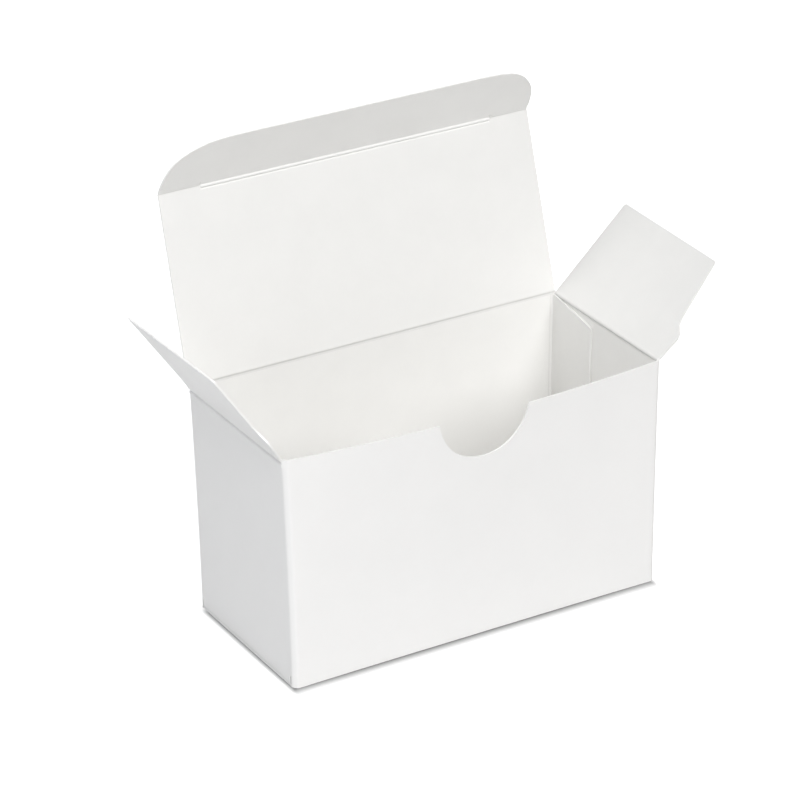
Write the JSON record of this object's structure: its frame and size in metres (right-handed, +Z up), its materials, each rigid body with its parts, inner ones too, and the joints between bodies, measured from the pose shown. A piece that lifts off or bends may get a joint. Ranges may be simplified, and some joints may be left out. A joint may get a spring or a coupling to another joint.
{
  "type": "business card carton",
  "caption": "Tuck-top carton of white board for business cards: creased lid with tuck flap, side dust flaps, thumb notch in the front wall, tuck bottom",
  "frame": {"origin": "middle of the carton's footprint, on the surface it stands on, which is the underside of the bottom lid", "axes": "+Z up, +X along the long side to the viewer's right, +Y from the notched front wall to the back wall that carries the lid"},
  "size_m": [0.1251, 0.0576, 0.1056],
  "materials": {
    "sleeve_board": "uncoated white board, matt",
    "lid_board": "uncoated white board, matt",
    "tuck_board": "uncoated white board, matt",
    "bottom_board": "uncoated white board, matt",
    "dust_flap_board": "uncoated white board, matt"
  },
  "bodies": {
    "sleeve": {"carton_sleeve": "sleeve_board"},
    "lid": {"top_lid": "lid_board"},
    "tuck_flap": {"top_tuck_flap": "tuck_board"},
    "left_dust_flap": {"dust_flap_left": "dust_flap_board"},
    "right_dust_flap": {"dust_flap_right": "dust_flap_board"},
    "bottom": {"bottom_lid": "bottom_board"}
  },
  "joints": [
    {"name": "lid_hinge", "type": "hinge", "parent": "sleeve", "child": "lid", "pos_m": [0, 0.02119, 0.05379], "axis": [-1, 0, 0], "range_deg": [-107, 58]},
    {"name": "tuck_fold", "type": "hinge", "parent": "lid", "child": "tuck_flap", "pos_m": [0, 0.0334, 0.09373], "axis": [1, 0, 0], "range_deg": [-37, 67]},
    {"name": "left_dust_hinge", "type": "hinge", "parent": "sleeve", "child": "left_dust_flap", "pos_m": [-0.04599, 0, 0.05322], "axis": [0, -1, 0], "range_deg": [-126, 54]},
    {"name": "right_dust_hinge", "type": "hinge", "parent": "sleeve", "child": "right_dust_flap", "pos_m": [0.04599, 0, 0.05322], "axis": [0, 1, 0], "range_deg": [-134, 46]},
    {"name": "bottom_hinge", "type": "hinge", "parent": "sleeve", "child": "bottom", "pos_m": [0, 0.02119, 0.00021], "axis": [1, 0, 0], "range_deg": [0, 110]}
  ],
  "couplings": [
    {"joint": "tuck_fold", "follows": "lid_hinge", "ratio": -0.626}
  ]
}
